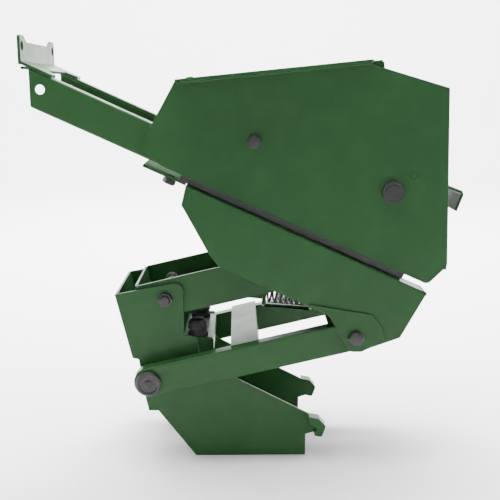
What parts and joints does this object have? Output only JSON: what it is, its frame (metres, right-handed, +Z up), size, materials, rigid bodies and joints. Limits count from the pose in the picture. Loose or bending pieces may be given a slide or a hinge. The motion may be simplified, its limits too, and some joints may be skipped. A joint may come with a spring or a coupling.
{
  "type": "tractor seat suspension",
  "caption": "Tractor seat suspension: folded steel housing on sloping slides, carried by a parallel arm linkage on a footed base, with a notched weight lever and a latch handle.",
  "frame": {"origin": "on the floor under the middle of the whole suspension's length and width", "axes": "+X to the front, where the operator reaches the handles; +Y across; +Z up"},
  "size_m": [0.616, 0.257, 0.61],
  "materials": {
    "green_enamel": "glossy enamel",
    "black_steel": "black oxide, semi-gloss",
    "bright_steel": "turned steel",
    "bump_rubber": "matt"
  },
  "bodies": {
    "base": {"base_frame": "green_enamel", "wall_bolt": "black_steel", "bump_stops": "bump_rubber", "lower_pivot_shaft": "black_steel", "shaft_caps": "black_steel", "shaft_sleeves": "black_steel", "upper_pivot_rod": "black_steel", "upper_pivot_nuts": "black_steel"},
    "lower_arms": {"lower_arm_left": "green_enamel", "lower_arm_right": "green_enamel", "arm_cross_plate": "green_enamel", "arm_bushes": "bright_steel"},
    "upper_arm": {"upper_arm": "green_enamel", "upper_arm_bushes": "bright_steel"},
    "carriage": {"carriage_left": "green_enamel", "carriage_right": "green_enamel", "pivot_doublers": "green_enamel", "front_pivot_bolts": "black_steel", "front_pivot_nuts": "black_steel", "front_cross_tube": "black_steel", "spring_anchor_rod": "bright_steel", "upper_front_pins": "bright_steel", "lower_slide_left": "black_steel", "lower_slide_right": "black_steel", "slide_stop_plate": "green_enamel", "stop_bolts": "black_steel"},
    "housing": {"housing_left": "green_enamel", "housing_right": "green_enamel", "front_panel": "green_enamel", "frame_rails": "green_enamel", "upper_slide_left": "black_steel", "upper_slide_right": "black_steel", "rear_crossbar": "green_enamel", "front_crossbar": "green_enamel", "crossbar_bolt": "black_steel", "stop_stud": "green_enamel", "cross_shaft": "black_steel", "adjuster_box": "green_enamel", "lever_pivot": "green_enamel", "sheave_bracket": "green_enamel", "sheave_axle": "black_steel", "axle_ring": "bright_steel"},
    "lever": {"adjuster_lever": "green_enamel"},
    "latch": {"latch_handle": "green_enamel"},
    "sheave": {"sheave": "bright_steel", "sheave_hub": "black_steel"},
    "draw_link": {"draw_link": "green_enamel", "draw_spring": "black_steel"},
    "draw_rod": {"draw_rod": "bright_steel"}
  },
  "joints": [
    {"name": "arm_swing", "type": "hinge", "parent": "base", "child": "lower_arms", "pos_m": [-0.146, 0, 0.129], "axis": [0, 1, 0], "range_deg": [0, 20], "stiffness_Nm_per_rad": 140, "springref_deg": -35.52},
    {"name": "upper_swing", "type": "hinge", "parent": "base", "child": "upper_arm", "pos_m": [-0.123, 0, 0.243], "axis": [0, 1, 0], "range_deg": [0, 20]},
    {"name": "carriage_level", "type": "hinge", "parent": "lower_arms", "child": "carriage", "pos_m": [0.14697, 0, 0.19718], "axis": [0, 1, 0], "range_deg": [-20, 0]},
    {"name": "housing_slide", "type": "slide", "parent": "carriage", "child": "housing", "axis": [-0.9114, 0, 0.4115], "range_m": [0, 0.1]},
    {"name": "lever_turn", "type": "hinge", "parent": "housing", "child": "lever", "pos_m": [-0.013, -0.043, 0.489], "axis": [0.0715, 0, 0.9974], "range_deg": [-20, 0.5]},
    {"name": "latch_lift", "type": "hinge", "parent": "housing", "child": "latch", "pos_m": [0.222, 0.008, 0.4245], "axis": [0, -1, 0], "range_deg": [0, 10], "stiffness_Nm_per_rad": 2, "springref_deg": -11.46},
    {"name": "sheave_spin", "type": "hinge", "parent": "housing", "child": "sheave", "pos_m": [0.1946, -0.022, 0.4015], "axis": [0, 1, 0], "continuous": true},
    {"name": "draw_swing", "type": "hinge", "parent": "base", "child": "draw_link", "pos_m": [-0.123, 0, 0.243], "axis": [0, 1, 0], "range_deg": [0, 21.74]},
    {"name": "draw_stretch", "type": "slide", "parent": "draw_link", "child": "draw_rod", "axis": [0.9965, 0, -0.0834], "range_m": [0, 0.0347]}
  ],
  "couplings": [
    {"joint": "upper_swing", "follows": "arm_swing", "ratio": 1},
    {"joint": "carriage_level", "follows": "arm_swing", "ratio": -1},
    {"joint": "draw_swing", "follows": "arm_swing", "ratio": 1.0621},
    {"joint": "draw_stretch", "follows": "arm_swing", "m_per_rad": 0.09664}
  ]
}
